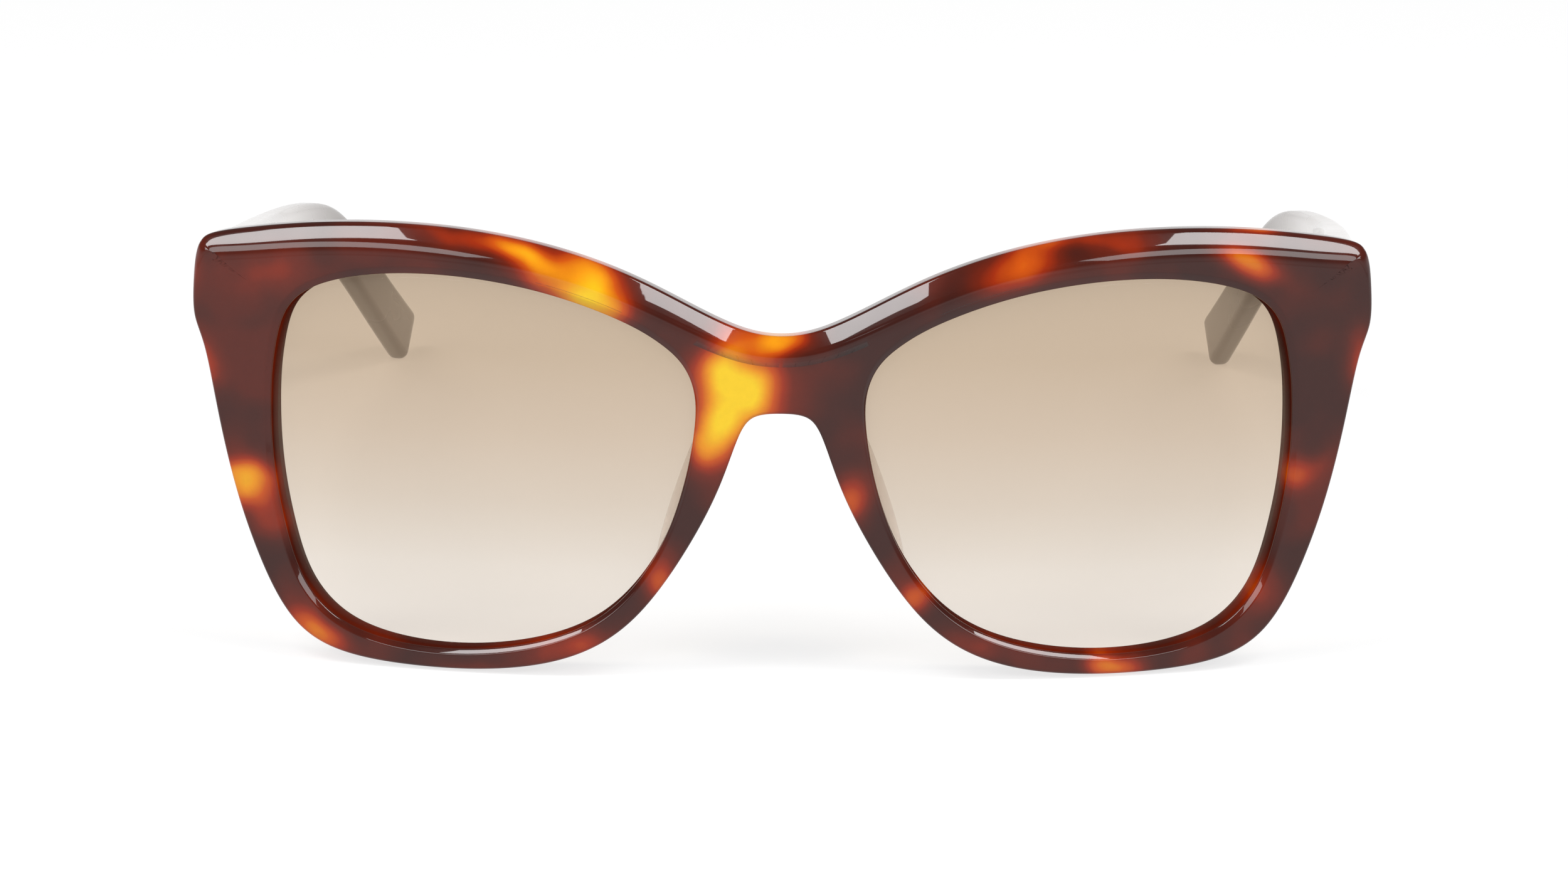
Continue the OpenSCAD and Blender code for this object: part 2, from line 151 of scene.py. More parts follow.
def bent(across, up, depth):
    """Points of the flat front after it is bent, in the front's frame."""
    a = across / BEND_R
    r = BEND_R - depth
    return np.stack([r * np.sin(a), BEND_R - r * np.cos(a), up + 0 * a], axis=-1)


def lens_depth(across, up, radius):
    """Depth behind the front face of a sphere about a lens's centre of curvature."""
    a = (across - LENS_CENTRE[0]) / BEND_R
    rho = BEND_R - LENS_SINK - LENS_R
    z = up - LENS_CENTRE[1]
    return BEND_R - rho * np.cos(a) - np.sqrt(radius ** 2 - z ** 2 - (rho * np.sin(a)) ** 2)


def stand(points):
    """Points of the front's frame placed as the glasses stand, in metres."""
    c = math.cos(LEAN)
    s = math.sin(LEAN)
    p = np.asarray(points, float)
    turned = np.stack([p[..., 0], p[..., 1] * c + p[..., 2] * s, p[..., 2] * c - p[..., 1] * s], axis=-1)
    return (turned + STAND_SHIFT) * MM


def turn_only(v):
    """A direction of the front's frame turned as the glasses stand."""
    return Vector((stand(np.array(v)) - stand(np.zeros(3))) / MM)


def rounded_path(corners, radii, arc_steps):
    """A bent line with its inner corners rounded, as one list of points for each station.

    corners is a list of (stations, 2) arrays. radii holds, for each inner corner, how far
    its rounding reaches: one number, or one for each station.
    """
    out = [corners[0]]
    for i, radius in enumerate(radii):
        a, b, c = corners[i], corners[i + 1], corners[i + 2]
        back = a - b
        ahead = c - b
        back_len = np.linalg.norm(back, axis=1)[:, None] + 1e-9
        ahead_len = np.linalg.norm(ahead, axis=1)[:, None] + 1e-9
        free_back = 0.95 if i == 0 else 0.48
        cut = np.minimum(radius, np.minimum(free_back * back_len, 0.48 * ahead_len))
        start = b + back / back_len * cut
        end = b + ahead / ahead_len * cut
        for t in np.linspace(0, 1, arc_steps + 1):
            out.append((1 - t) ** 2 * start + 2 * t * (1 - t) * b + t ** 2 * end)
    out.append(corners[-1])
    return np.stack(out)


# ---- Mesh helpers ----------------------------------------------------------------------
def make_mesh(name, vertices, faces, second=()):
    """A smooth-shaded object; the faces listed in second get its second material."""
    mesh = bpy.data.meshes.new(name)
    mesh.from_pydata([tuple(v) for v in vertices], [], [tuple(int(i) for i in f) for f in faces])
    for index in second:
        mesh.polygons[index].material_index = 1
    bm = bmesh.new()
    bm.from_mesh(mesh)
    bmesh.ops.remove_doubles(bm, verts=bm.verts, dist=MERGE)
    bmesh.ops.recalc_face_normals(bm, faces=bm.faces)
    bm.to_mesh(mesh)
    bm.free()
    for polygon in mesh.polygons:
        polygon.use_smooth = True
    thing = bpy.data.objects.new(name, mesh)
    bpy.context.scene.collection.objects.link(thing)
    return thing


class Skin:
    """Collects grids of points into one mesh."""

    def __init__(self):
        self.vertices = []
        self.faces = []
        self.second = []
        self.count = 0

    def grid(self, rows, closed, second_from=None):
        """Rows of points joined by four-sided faces; closed joins each row's two ends.

        Faces from row second_from on get the mesh's second material.
        """
        rows = np.asarray(rows)
        n_rows, n = rows.shape[:2]
        start = self.count
        self.vertices.append(rows.reshape(-1, 3))
        self.count += n_rows * n
        for r in range(n_rows - 1):
            for k in range(n if closed else n - 1):
                if second_from is not None and r >= second_from:
                    self.second.append(len(self.faces))
                m = (k + 1) % n
                a = start + r * n
                b = a + n
                self.faces.append((a + k, a + m, b + m, b + k))

    def cap(self, ring):
        """A fan over a closed ring."""
        ring = np.asarray(ring)
        n = len(ring)
        start = self.count
        self.vertices.append(np.concatenate([ring, ring.mean(axis=0)[None]]))
        self.count += n + 1
        for k in range(n):
            self.faces.append((start + k, start + (k + 1) % n, start + n))

    def build(self, name):
        return make_mesh(name, stand(np.concatenate(self.vertices)), self.faces, self.second)


def mirrored(points):
    return points * np.array([-1.0, 1.0, 1.0])


def side_turn(side):
    return mirrored if side == "right" else (lambda points: points)


def arm_turn(side):
    """Puts a temple's points on their side, turned about the hinge as it stands at rest."""
    hinge_x = HINGE_AT[0] * (-1 if side == "right" else 1)
    c = math.cos(REST_TURN)
    s = math.sin(REST_TURN)

    def turn(points):
        p = side_turn(side)(points)
        x = p[..., 0] - hinge_x
        y = p[..., 1] - HINGE_AT[1]
        return np.stack([hinge_x + x * c + y * s, HINGE_AT[1] + y * c - x * s, p[..., 2]], axis=-1)

    return turn


# ---- Front -----------------------------------------------------------------------------
STEPS = 16
opening = spline(RIBS[:, [0, 1, 5]], STEPS, True)
half_outline = RIBS[:OUTLINE_RIBS, 2:5]
other_half = half_outline[-2:0:-1] * np.array([-1.0, 1.0, 1.0])
outline = spline(np.concatenate([half_outline, other_half]), STEPS, True)
opening_normals = ring_normals(opening[:, :2])
outline_normals = ring_normals(outline[:, :2])
n_open = len(opening)
n_half = len(outline) // 2


def edge_section():
    """Cross-section of the outer wall for every outline station: inset and depth."""
    w = outline[:, 2]
    share = np.clip((w - PLAIN_BEVEL) / FACET_FADE, 0, 1)[:, None]
    deep = np.minimum(FACET_DEPTH, FACET_SLOPE * w)
    zero = np.zeros_like(w)

    def point(inset, depth):
        return np.stack([inset + zero, depth + zero], axis=1)

    # Brow: front face, soft crease, sloping facet, top edge, top wall, back edge, back face.
    # The crease and the top edge are softer towards the temples.
    outer = np.clip((np.abs(outline[:, :1]) - SOFTER_FROM) / SOFTER_OVER, 0, 1)
    behind = [point(0.0, FRONT_T), point(BACK_REACH, FRONT_T)]
    brow = rounded_path([point(w + 1.4, 0.0), point(w, 0.0), point(0.0, deep)] + behind,
                        [0.5 + 0.75 * outer, 0.35 + 0.25 * outer, BACK_EDGE], EDGE_ARC)
    cut = PLAIN_CUT * w
    plain = rounded_path([point(w + 0.1, 0.0), point(cut, 0.0), point(0.0, cut)] + behind,
                         [PLAIN_EDGE, PLAIN_EDGE, BACK_EDGE], EDGE_ARC)
    return plain * (1 - share) + brow * share


def wall_section():
    """Cross-section of a lens opening for every station: outset and depth."""
    c = opening[:, 2]
    zero = np.zeros_like(c)

    def point(outset, depth):
        return np.stack([outset + zero, depth + zero], axis=1)

    deep = np.minimum(c, CHAMFER_DEPTH)
    return rounded_path(
        [point(c + 0.25, 0.0), point(c, 0.0), point(0.0, deep), point(0.0, FRONT_T), point(0.5, FRONT_T)],
        [OPENING_FRONT_EDGE, OPENING_FRONT_EDGE, OPENING_BACK_EDGE], WALL_ARC)


def build_front():
    skin = Skin()
    edge = edge_section()
    flat = outline[None, :, :2] - edge[..., :1] * outline_normals[None]
    outer_rows = bent(flat[..., 0], flat[..., 1], edge[..., 1])
    skin.grid(outer_rows, True)

    wall = wall_section()
    wall_flat = opening[None, :, :2] + wall[..., :1] * opening_normals[None]
    wall_rows = bent(wall_flat[..., 0], wall_flat[..., 1], wall[..., 1])

    def fill(edge_row, wall_row, depth, steps):
        """Face between the outline or the centre line and the opening's ring."""
        ring = flat[edge_row, :n_half + 1]
        n_mid = n_open - n_half - 1
        share = (np.arange(1, n_mid + 1) / (n_mid + 1))[:, None]
        middle = ring[-1] + (ring[0] - ring[-1]) * share
        outer = np.concatenate([ring, middle])
        rows = []
        for t in np.linspace(0, 1, steps + 1):
            p = outer * (1 - t) + wall_flat[wall_row] * t
            rows.append(bent(p[:, 0], p[:, 1], depth))
        return np.stack(rows)

    front_face = fill(0, 0, 0.0, 8)
    back_face = fill(-1, -1, FRONT_T, 4)
    for turn in (lambda p: p, mirrored):
        skin.grid(turn(front_face), True)
        skin.grid(turn(wall_rows), True, WALL_ROW)
        skin.grid(turn(back_face), True)
    return skin.build("acetate_front")


def build_lens(side):
    skin = Skin()
    flat = opening[::2, :2] + LENS_BITE * opening_normals[::2]
    centre = np.array(LENS_CENTRE)
    shells = []
    for radius in (LENS_R, LENS_R - LENS_T):
        rows = []
        for t in np.linspace(1, LENS_HOLE, LENS_ROWS):
            p = centre + (flat - centre) * t
            rows.append(bent(p[:, 0], p[:, 1], lens_depth(p[:, 0], p[:, 1], radius)))
        shells.append(np.stack(rows))
    turn = side_turn(side)
    for shell in shells:
        skin.grid(turn(shell), True)
        skin.cap(turn(shell[-1]))
    skin.grid(turn(np.stack([shells[0][0], shells[1][0]])), True)
    return skin.build(side + "_tinted_lens")


# ---- Temples and nose pads -------------------------------------------------------------
def rounded_box(width, height, radius, corner_steps, crown):
    """Rounded rectangle round the origin, with faces that bulge by crown."""
    points = []
    for sx, sy, turn in ((1, 1, 0), (-1, 1, 90), (-1, -1, 180), (1, -1, 270)):
        for a in np.linspace(0, 90, corner_steps + 1):
            angle = math.radians(turn + a)
            points.append([sx * (width / 2 - radius) + radius * math.cos(angle),
                           sy * (height / 2 - radius) + radius * math.sin(angle)])
    points = np.array(points)
    points[:, 0] *= 1 - crown * (np.abs(points[:, 1]) / (height / 2)) ** 2
    return points


def build_temple(side):
    curve = spline(TEMPLE, TEMPLE_STEPS, False)
    place = curve[:, :3]
    ahead = np.gradient(place, axis=0)
    ahead[0] = [0, 1, 0]
    ahead /= np.linalg.norm(ahead, axis=1)[:, None]
    leaf_tan = math.tan(math.asin(LEAF_X / (BEND_R - FRONT_T)))

    def ring(i, scale_w, scale_h, along):
        across = np.cross(ahead[i], [0, 0, 1])
        across /= np.linalg.norm(across)
        up = np.cross(across, ahead[i])
        width = curve[i, 4] * scale_w
        height = curve[i, 3] * scale_h
        edge = min(TEMPLE_ROUND, width * 0.45, height * 0.45)
        section = rounded_box(width, height, edge, 6, TEMPLE_CROWN)
        points = place[i] + section[:, :1] * across + section[:, 1:] * up + ahead[i] * along
        mitre = max(0.0, 1 - i / BUTT_STATIONS)
        points[:, 1] += mitre * (BUTT_GAP + section[:, 0] * leaf_tan)
        return points

    end = len(curve) - 1
    rings = [ring(0, 0.93, 0.975, 0.0), ring(0, 0.98, 0.99, 0.06), ring(0, 1, 1, 0.2)]
    rings += [ring(i, 1, 1, 0) for i in range(1, end + 1)]
    for a in (15, 30, 45, 60, 72, 83):
        c = math.cos(math.radians(a))
        rings.append(ring(end, 0.35 + 0.65 * c, 0.72 + 0.28 * c, TIP_ROUND * math.sin(math.radians(a))))
    turn = arm_turn(side)
    rings = [turn(r) for r in rings]
    skin = Skin()
    skin.grid(np.stack(rings), True)
    skin.cap(rings[0])
    skin.cap(rings[-1])
    return skin.build(side + "_acetate_temple")


def build_pad(side):
    curve = spline(PAD, PAD_STEPS, False)
    a = np.linspace(0, 2 * math.pi, PAD_SIDES, endpoint=False)
    rings = []
    last = len(curve) - 1
    for i, (x, y, z, depth, thickness) in enumerate(curve):
        close = 1 - min(i, last - i, 3) / 3
        size = math.sqrt(max(0.02, 1 - 0.98 * close ** 2))
        along = np.cos(a) * thickness / 2 * size
        deep = np.sin(a) * depth / 2 * size
        rings.append(np.stack([
            x + along * math.cos(PAD_LIE) + deep * math.sin(PAD_LIE),
            y + deep * math.cos(PAD_LIE) - along * math.sin(PAD_LIE),
            z + 0 * a], axis=1))
    rings = np.stack(rings)
    # The side towards the rim is flat, where it is glued to the back of the front
    reach = np.hypot(rings[..., 0], BEND_R - rings[..., 1])
    shrink = np.minimum(1, (BEND_R - FRONT_T - PAD_GLUE) / reach)
    rings[..., 0] *= shrink
    rings[..., 1] = BEND_R - (BEND_R - rings[..., 1]) * shrink
    turn = side_turn(side)
    skin = Skin()
    skin.grid(turn(rings), True)
    skin.cap(turn(rings[0]))
    skin.cap(turn(rings[-1]))
    return skin.build(side + "_clear_pad")


# ---- Material helpers ------------------------------------------------------------------
class Nodes:
    """A short way to write a material's node tree."""

    def __init__(self, name):
        self.material = bpy.data.materials.new(name)
        self.material.use_nodes = True
        self.tree = self.material.node_tree
        self.tree.nodes.clear()
        self.output = self.tree.nodes.new("ShaderNodeOutputMaterial")

    def add(self, kind, **settings):
        node = self.tree.nodes.new("ShaderNode" + kind)
        for key, value in settings.items():
            setattr(node, key, value)
        return node

    def put(self, socket, value):
        if isinstance(value, bpy.types.NodeSocket):
            self.tree.links.new(value, socket)
        elif value is not None:
            socket.default_value = value

    def math(self, operation, a, b=None, c=None):
        node = self.add("Math", operation=operation)
        for socket, value in zip(node.inputs, (a, b, c)):
            self.put(socket, value)
        return node.outputs[0]

    def vector(self, operation, a, b=None, c=None):
        node = self.add("VectorMath", operation=operation)
        for socket, value in zip(node.inputs, (a, b, c)):
            self.put(socket, value)
        return node.outputs["Value" if operation == "DOT_PRODUCT" else "Vector"]

    def scaled(self, a, factor):
        node = self.add("VectorMath", operation="SCALE")
        self.put(node.inputs[0], a)
        self.put(node.inputs["Scale"], factor)
        return node.outputs["Vector"]

    def noise(self, where, scale, detail=2.0, roughness=0.5, colour=False):
        node = self.add("TexNoise")
        self.put(node.inputs["Vector"], where)
        node.inputs["Scale"].default_value = scale
        node.inputs["Detail"].default_value = detail
        node.inputs["Roughness"].default_value = roughness
        return node.outputs["Color" if colour else "Fac"]

    def ramp(self, value, stops):
        node = self.add("ValToRGB")
        node.color_ramp.interpolation = "LINEAR"
        elements = node.color_ramp.elements
        while len(elements) < len(stops):
            elements.new(0.5)
        for element, (position, colour) in zip(elements, stops):
            element.position = position
            element.color = tuple(colour) + (1.0,)
        self.put(node.inputs["Fac"], value)
        return node.outputs["Color"]

    def spread(self, value, low, high, out_low, out_high, smooth=False):
        node = self.add("MapRange")
        node.interpolation_type = "SMOOTHSTEP" if smooth else "LINEAR"
        for socket, v in zip(node.inputs, (value, low, high, out_low, out_high)):
            self.put(socket, v)
        return node.outputs["Result"]

    def mix(self, factor, a, b):
        node = self.add("Mix", data_type="RGBA")
        self.put(node.inputs["Factor"], factor)
        self.put(node.inputs[6], a)
        self.put(node.inputs[7], b)
        return node.outputs[2]

    def front_place(self):
        """Place of a surface point in the front's frame, in millimetres."""
        spot = self.add("TexCoord").outputs["Object"]
        shift = self.add("Mapping")
        shift.inputs["Scale"].default_value = (1000, 1000, 1000)
        shift.inputs["Location"].default_value = tuple(-STAND_SHIFT)
        self.put(shift.inputs["Vector"], spot)
        turn = self.add("Mapping")
        turn.inputs["Rotation"].default_value = (LEAN, 0, 0)
        self.put(turn.inputs["Vector"], shift.outputs["Vector"])
        return turn.outputs["Vector"]

    def bump(self, height, strength, distance):
        node = self.add("Bump")
        node.inputs["Strength"].default_value = strength
        node.inputs["Distance"].default_value = distance
        self.put(node.inputs["Height"], height)
        return node.outputs["Normal"]

    def principled(self, **values):
        node = self.add("BsdfPrincipled")
        for key, value in values.items():
            self.put(node.inputs[key.replace("_", " ")], value)
        return node

    def finish(self, shader):
        self.tree.links.new(shader, self.output.inputs["Surface"])
        return self.material


def srgb(r, g, b):
    """Linear colour of an 8-bit display colour."""
    out = []
    for value in (r, g, b):
        v = value / 255
        out.append(v / 12.92 if v <= 0.04045 else ((v + 0.055) / 1.055) ** 2.4)
    return tuple(out)


# ---- Tortoiseshell ---------------------------------------------------------------------
# How far the patches' edges wander, in millimetres, and how sharply and fast a patch falls off
PATCH_WANDER = 2.8
PATCH_EDGE = 1.25
PATCH_FALL = 0.75
# Soft patches of the acetate: across, up, half width, half height, slant in degrees, how light.
PATCHES = [
    (-5.2, 7.4, 5.2, 6.0, 0, 1.00), (0.2, 14.0, 3.4, 1.5, 0, 0.66), (-8.4, 1.4, 2.8, 3.2, 0, 0.52),
    (-21.2, 17.6, 3.6, 3.2, -38, 0.80), (-22.4, 22.4, 2.8, 1.6, -25, 0.45),
    (-27.0, 20.6, 5.0, 2.6, -25, 0.48), (-35.0, 24.2, 7.0, 1.3, -14, 0.50),
    (-50.0, 27.2, 4.5, 0.9, 0, 0.58), (-62.4, 20.6, 4.5, 2.6, 0, 0.22),
    (-71.5, 22.0, 1.4, 4.0, 0, 0.30), (-70.4, 8.6, 2.4, 3.6, 20, 0.40),
    (-65.0, -6.0, 4.4, 2.8, 25, 0.68), (-61.4, -10.4, 2.6, 2.6, 0, 0.28),
    (-56.0, -24.4, 4.0, 2.2, -35, 0.68), (-38.0, -27.2, 4.0, 1.2, 0, 0.22),
    (-23.6, -24.2, 6.0, 2.2, 14, 0.40), (-14.2, -16.2, 2.0, 3.2, -35, 0.42),
    (27.8, 21.6, 4.6, 2.4, 20, 0.50), (34.0, 25.0, 4.0, 1.0, 5, 0.36),
    (42.4, 25.6, 3.4, 1.4, 0, 0.30), (57.0, 26.6, 4.4, 1.0, -5, 0.72),
    (55.6, 22.2, 3.8, 1.4, -22, 0.54), (69.8, 9.4, 1.6, 3.8, 10, 0.42),
    (62.8, -3.4, 2.6, 1.8, 0, 0.40), (58.0, -16.8, 2.2, 2.8, 0, 0.30),
    (50.0, -25.0, 3.0, 1.6, 20, 0.22), (39.6, -26.6, 3.2, 1.6, 0, 0.68),
    (22.4, -23.4, 4.4, 1.8, -14, 0.32), (8.4, -6.0, 2.2, 3.2, -25, 0.48),
    (16.0, -17.6, 1.8, 2.8, -40, 0.56)]


def tortoise(name, gloss, painted_glow):
    """Tortoiseshell acetate; gloss scales its reflections, and the last argument lightens its pattern as
    painted light glowing through the acetate.
    """
    n = Nodes(name)
    spot = n.front_place()
    sheet = n.vector("MULTIPLY", spot, (1, 0.45, 1))
    wander = n.noise(sheet, 0.13, 1.0, 0.4, colour=True)
    wander = n.vector("SUBTRACT", wander, (0.5, 0.5, 0.5))
    warped = n.vector("MULTIPLY_ADD", wander, (PATCH_WANDER, 0.0, PATCH_WANDER), spot)
    total = None
    for x, z, half_w, half_h, slant, light in PATCHES:
        here = n.vector("SUBTRACT", warped, (x, 0, z))
        c = math.cos(math.radians(slant))
        s = math.sin(math.radians(slant))
        u = n.vector("DOT_PRODUCT", here, (c / half_w, 0, s / half_w))
        v = n.vector("DOT_PRODUCT", here, (-s / half_h, 0, c / half_h))
        far = n.math("MULTIPLY_ADD", u, u, n.math("MULTIPLY", v, v))
        far = n.math("POWER", far, PATCH_EDGE)
        fall = n.math("POWER", 2.718, n.math("MULTIPLY", far, -PATCH_FALL))
        total = n.math("MULTIPLY_ADD", fall, light, total if total is not None else 0.0)
    cloud = n.noise(sheet, 0.12, 1.0, 0.4)
    cloud = n.spread(cloud, 0.40, 0.68, 0.0, 0.19, True)
    # A lift above zero lightens the whole pattern: painted light glowing through the acetate
    total = n.math("ADD", n.math("ADD", total, cloud), painted_glow)
    colour = n.ramp(total, [
        (0.00, srgb(48, 18, 13)), (0.14, srgb(64, 20, 11)), (0.32, srgb(90, 24, 8)),
        (0.48, srgb(128, 34, 5)), (0.64, srgb(166, 66, 7)), (0.82, srgb(196, 122, 11)),
        (1.00, srgb(208, 172, 22))])
    fleck = n.noise(sheet, 1.1, 3.0, 0.6)
    fleck = n.spread(fleck, 0.3, 0.7, 0.97, 1.03)
    colour = n.scaled(colour, fleck)
    polish = n.noise(spot, 0.35, 2.0)
    shader = n.principled(Base_Color=colour, Roughness=n.spread(polish, 0.3, 0.7, 0.16, 0.26),
                          IOR=1.48, Specular_IOR_Level=0.05 * gloss, Coat_Weight=gloss, Coat_Roughness=0.02,
                          Coat_IOR=1.38, Normal=n.bump(n.noise(spot, 0.22, 1.0), 0.06, 0.0002))
    return n.finish(shader.outputs["BSDF"])


# Where the temples' painted shade starts to darken the ivory to taupe and where it is full, behind the
# front's face
TIP_SHADE_FROM = 84.0
TIP_SHADE_TO = 122.0


def ivory():
    """Pale acetate of the temples, with painted shade towards the tips."""
    n = Nodes("ivory_acetate")
    spot = n.front_place()
    back = n.add("SeparateXYZ")
    n.put(back.inputs[0], spot)
    # Painted shade: the ivory darkens to a greyish taupe towards the bent tips, standing in for the shade
    # they lie in
    tip_painted_shade = n.spread(back.outputs["Y"], TIP_SHADE_FROM, TIP_SHADE_TO, 0.0, 1.0, True)
    colour = n.mix(tip_painted_shade, srgb(194, 189, 186) + (1,), srgb(108, 100, 95) + (1,))
    cloud = n.noise(spot, 0.09, 1.0)
    colour = n.scaled(colour, n.spread(cloud, 0.3, 0.7, 0.96, 1.02))
    shader = n.principled(Base_Color=colour, Roughness=n.spread(cloud, 0.3, 0.7, 0.22, 0.32),
                          IOR=1.48, Coat_Weight=0.6, Coat_Roughness=0.05,
                          Normal=n.bump(n.noise(spot, 0.2, 1.0), 0.01, 0.0002))
    return n.finish(shader.outputs["BSDF"])


# Heights between which the lenses' tint deepens
TINT_LOW = -25.0
TINT_HIGH = 21.0


def tint():
    """Lens that is darker towards its top, with a faint film that gives its reflections."""
    n = Nodes("gradient_lens")
    spot = n.front_place()
    up = n.add("SeparateXYZ")
    n.put(up.inputs[0], spot)
    waver = n.spread(n.noise(spot, 0.05, 1.0), 0.0, 1.0, -0.3, 0.3)
    level = n.spread(n.math("ADD", up.outputs["Z"], waver), TINT_LOW, TINT_HIGH, 0.0, 1.0)
    # Each of the lens's two faces takes half of the tint
    through = n.ramp(level, [
        (0.00, (0.925, 0.898, 0.870)), (0.22, (0.890, 0.855, 0.815)), (0.40, (0.830, 0.775, 0.715)),
        (0.58, (0.790, 0.720, 0.643)), (0.78, (0.753, 0.675, 0.586)), (1.00, (0.740, 0.661, 0.571))])
    cover = n.spread(level, 0.1, 0.8, 0.04, 0.07, True)
    clear = n.add("BsdfTransparent")
    n.put(clear.inputs["Color"], through)
    polish = n.spread(n.noise(spot, 0.2, 2.0), 0.3, 0.7, 0.01, 0.03)
    film = n.principled(Base_Color=n.vector("MULTIPLY", through, (0.8, 0.72, 0.62)), Roughness=polish,
                        IOR=1.5, Coat_Weight=0.0)
    blend = n.add("MixShader")
    n.put(blend.inputs[0], cover)
    n.put(blend.inputs[1], clear.outputs[0])
    n.put(blend.inputs[2], film.outputs[0])
    return n.finish(blend.outputs[0])


def clear_acetate():
    """Slightly milky clear acetate of the nose pads."""
    n = Nodes("clear_acetate")
    spot = n.front_place()
    cloud = n.noise(spot, 0.6, 2.0)
    colour = n.mix(cloud, (0.93, 0.89, 0.87, 1), (0.97, 0.94, 0.92, 1))
    shader = n.principled(Base_Color=colour, Roughness=n.spread(cloud, 0.3, 0.7, 0.10, 0.18),
                          IOR=1.48, Transmission_Weight=0.8)
    return n.finish(shader.outputs["BSDF"])


def metal(name, colour, rough, stretch):
    """Metal with fine lines, which run along the axis that stretch shortens."""
    n = Nodes(name)
    spot = n.front_place()
    lines = n.noise(n.vector("MULTIPLY", spot, stretch), 3.0, 4.0, 0.6)
    shade = n.spread(lines, 0.3, 0.7, 0.86, 1.0)
    shader = n.principled(Base_Color=n.scaled(colour, shade), Metallic=1.0,
                          Roughness=n.spread(lines, 0.3, 0.7, rough, rough + 0.14),
                          Normal=n.bump(lines, 0.1, 0.00003))
    return n.finish(shader.outputs["BSDF"])


# ---- Pieces ----------------------------------------------------------------------------
tortoise_acetate = tortoise("tortoise_acetate", 1.0, 0.0)
# The walls of the lens openings take a lighter copy with no reflections: painted light glowing through the
# acetate
rim_wall_glow_acetate = tortoise("tortoise_rim_wall_painted_glow", 0.0, 0.12)
ivory_acetate = ivory()
gradient_lens = tint()
pad_acetate = clear_acetate()
leaf_metal = metal("hinge_nickel", (0.78, 0.75, 0.70), 0.22, (1.0, 1.0, 0.15))
screw_metal = metal("screw_steel", (0.80, 0.79, 0.77), 0.14, (1.0, 1.0, 0.3))
wire_metal = metal("wire_steel", (0.70, 0.70, 0.71), 0.30, (1.0, 0.1, 1.0))


def settle(piece, body, node, material):
    """Gives a piece its material, and puts it in its CAD node's place on a body."""
    piece.data.materials.append(material)
    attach(piece, body)
    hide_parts(node)


acetate_front = build_front()
settle(acetate_front, "front", "front_frame", tortoise_acetate)
acetate_front.data.materials.append(rim_wall_glow_acetate)
for side in ("left", "right"):
    settle(build_lens(side), "front", side + "_lens", gradient_lens)
    settle(build_pad(side), "front", side + "_nose_pad", pad_acetate)
    settle(build_temple(side), side + "_arm", side + "_temple", ivory_acetate)
    for node, material in (("_front_hinge", leaf_metal), ("_temple_hinge", leaf_metal),
                           ("_hinge_screw", screw_metal), ("_core_wire", wire_metal)):
        bpy.data.objects[side + node].data.materials.clear()
        bpy.data.objects[side + node].data.materials.append(material)

# ---- Floor, light and camera -----------------------------------------------------------
FLOOR_HALF = 6
# Shade of the floor's paper, and its own glow, which keeps it white and its shadows soft
PAPER_SHADES = (0.21, 0.23)
PAPER_GLOW = 0.75
corners = [(-FLOOR_HALF, -FLOOR_HALF, 0), (FLOOR_HALF, -FLOOR_HALF, 0),
           (FLOOR_HALF, FLOOR_HALF, 0), (-FLOOR_HALF, FLOOR_HALF, 0)]
floor = make_mesh("floor", corners, [(0, 1, 2, 3)])
paper = Nodes("white_paper")
floor_spot = paper.add("TexCoord").outputs["Object"]
paper_grain = paper.noise(floor_spot, 3.0, 2.0)
paper_colour = paper.mix(paper_grain, (PAPER_SHADES[0],) * 3 + (1,), (PAPER_SHADES[1],) * 3 + (1,))
paper_shader = paper.principled(Base_Color=paper_colour, Roughness=0.9, Specular_IOR_Level=0.0,
                                Emission_Color=(1, 1, 1, 1), Emission_Strength=PAPER_GLOW)
floor.data.materials.append(paper.finish(paper_shader.outputs["BSDF"]))

bpy.context.scene.view_settings.view_transform = "Standard"
# The sky is white at the horizon and SKY_TOP bright above SKY_TO; heights go from 0 to 1
SKY_FROM = 0.05
SKY_TO = 0.35
SKY_TOP = 0.16
world = bpy.data.worlds.new("studio")
bpy.context.scene.world = world
world.use_nodes = True
sky = world.node_tree
sky_place = sky.nodes.new("ShaderNodeTexCoord")
sky_up = sky.nodes.new("ShaderNodeSeparateXYZ")
sky.links.new(sky_place.outputs["Generated"], sky_up.inputs[0])
sky_light = sky.nodes.new("ShaderNodeMapRange")
sky_light.interpolation_type = "SMOOTHSTEP"
sky.links.new(sky_up.outputs["Z"], sky_light.inputs["Value"])
sky_light.inputs["From Min"].default_value = SKY_FROM
sky_light.inputs["From Max"].default_value = SKY_TO
sky_light.inputs["To Min"].default_value = 1.0
sky_light.inputs["To Max"].default_value = SKY_TOP
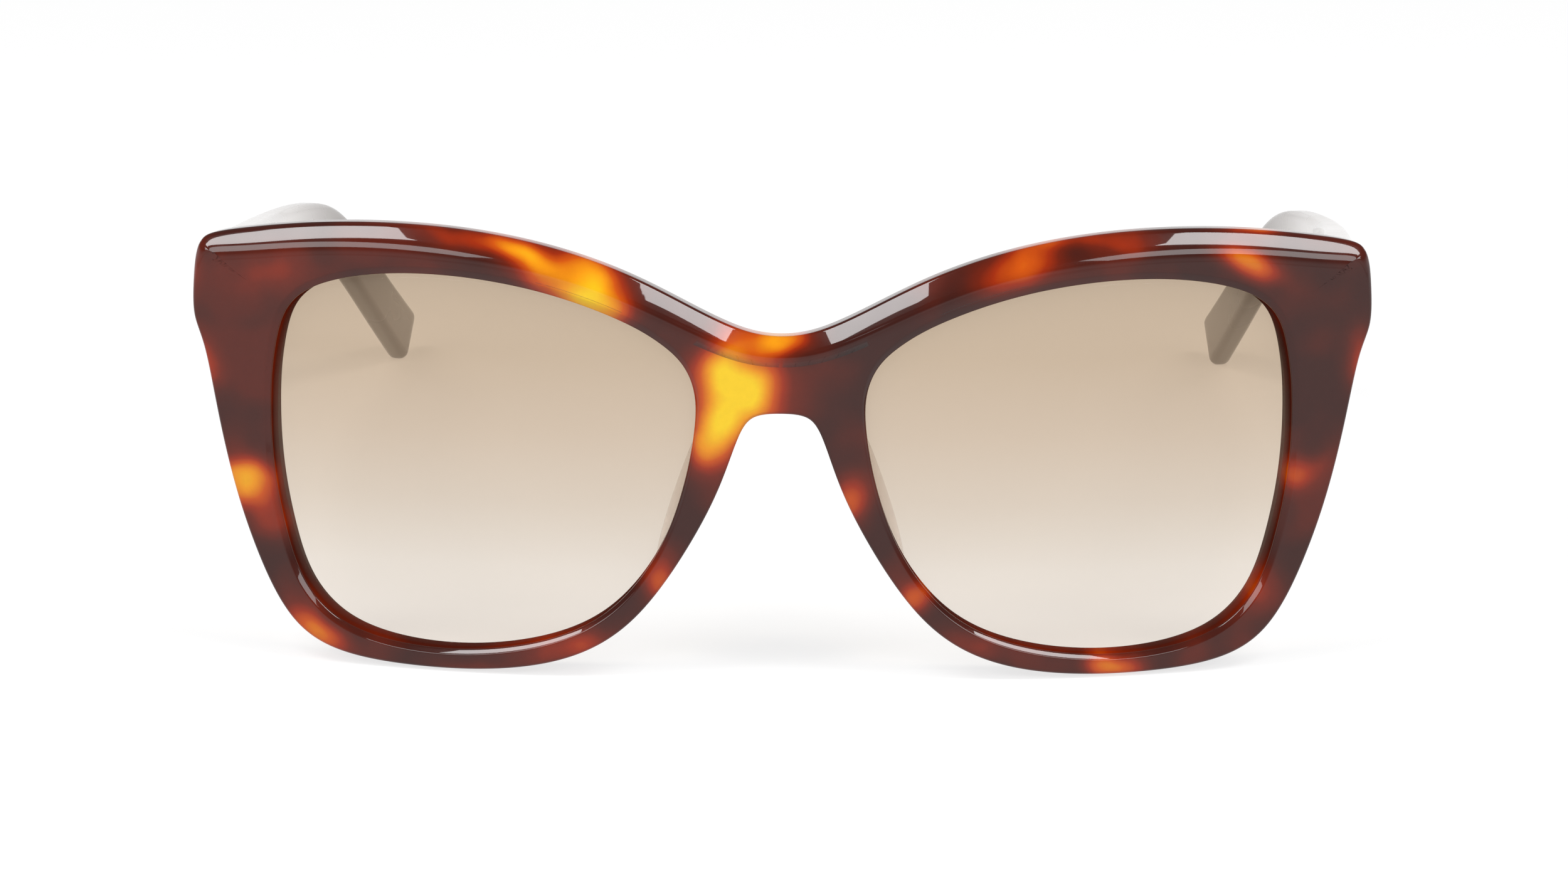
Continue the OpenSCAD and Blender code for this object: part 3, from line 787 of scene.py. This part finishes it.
sky.links.new(sky_light.outputs["Result"], sky.nodes["Background"].inputs["Color"])


def softbox(name, place, target, width, height, power):
    """Rectangular lamp at a place in metres, aimed at a target, with its power in watts."""
    data = bpy.data.lights.new(name, "AREA")
    data.shape = "RECTANGLE"
    data.size = width
    data.size_y = height
    data.energy = power
    lamp = bpy.data.objects.new(name, data)
    lamp.location = place
    lamp.rotation_euler = (Vector(target) - Vector(place)).to_track_quat("-Z", "Y").to_euler()
    bpy.context.scene.collection.objects.link(lamp)


for side, turn in (("left", -1), ("right", 1)):
    # The high lamps face straight down, and the low ones face the glasses from ahead
    softbox("high_softbox_" + side, place=(turn * 0.62, -0.285, 1.03),
            target=(turn * 0.62, -0.285, 0), width=0.56, height=0.33, power=9.0)
    softbox("low_softbox_" + side, place=(turn * 0.67, -0.75, 0.68),
            target=(0, 0, 0.03), width=0.87, height=0.38, power=6.2)

CAMERA_LIFT = math.radians(10.7)
CAMERA_SIDE = math.radians(0.5)
CAMERA_ROLL = math.radians(0.3635)
CAMERA_FAR = 800.0
CAMERA_LENS = 152.3
# Point that the camera looks at, in the front's frame
CAMERA_TARGET = (0.368, 9.0, 0.0)
look_at = Vector(stand(np.array(CAMERA_TARGET)))
view = turn_only((-math.sin(CAMERA_SIDE) * math.cos(CAMERA_LIFT),
                  math.cos(CAMERA_SIDE) * math.cos(CAMERA_LIFT), -math.sin(CAMERA_LIFT)))
front_up = turn_only((0, 0, 1))
right = view.cross(front_up).normalized()
above = right.cross(view).normalized()
rolled_right = right * math.cos(CAMERA_ROLL) + above * math.sin(CAMERA_ROLL)
rolled_up = rolled_right.cross(view).normalized()
camera_data = bpy.data.cameras.new("camera")
camera_data.sensor_width = 36
camera_data.lens = CAMERA_LENS
camera_data.clip_start = 0.01
camera_data.clip_end = 50
camera = bpy.data.objects.new("camera", camera_data)
pose = Matrix((rolled_right, rolled_up, -view)).transposed().to_4x4()
pose.translation = look_at - view * CAMERA_FAR * MM
camera.matrix_world = pose
bpy.context.scene.collection.objects.link(camera)
bpy.context.scene.camera = camera
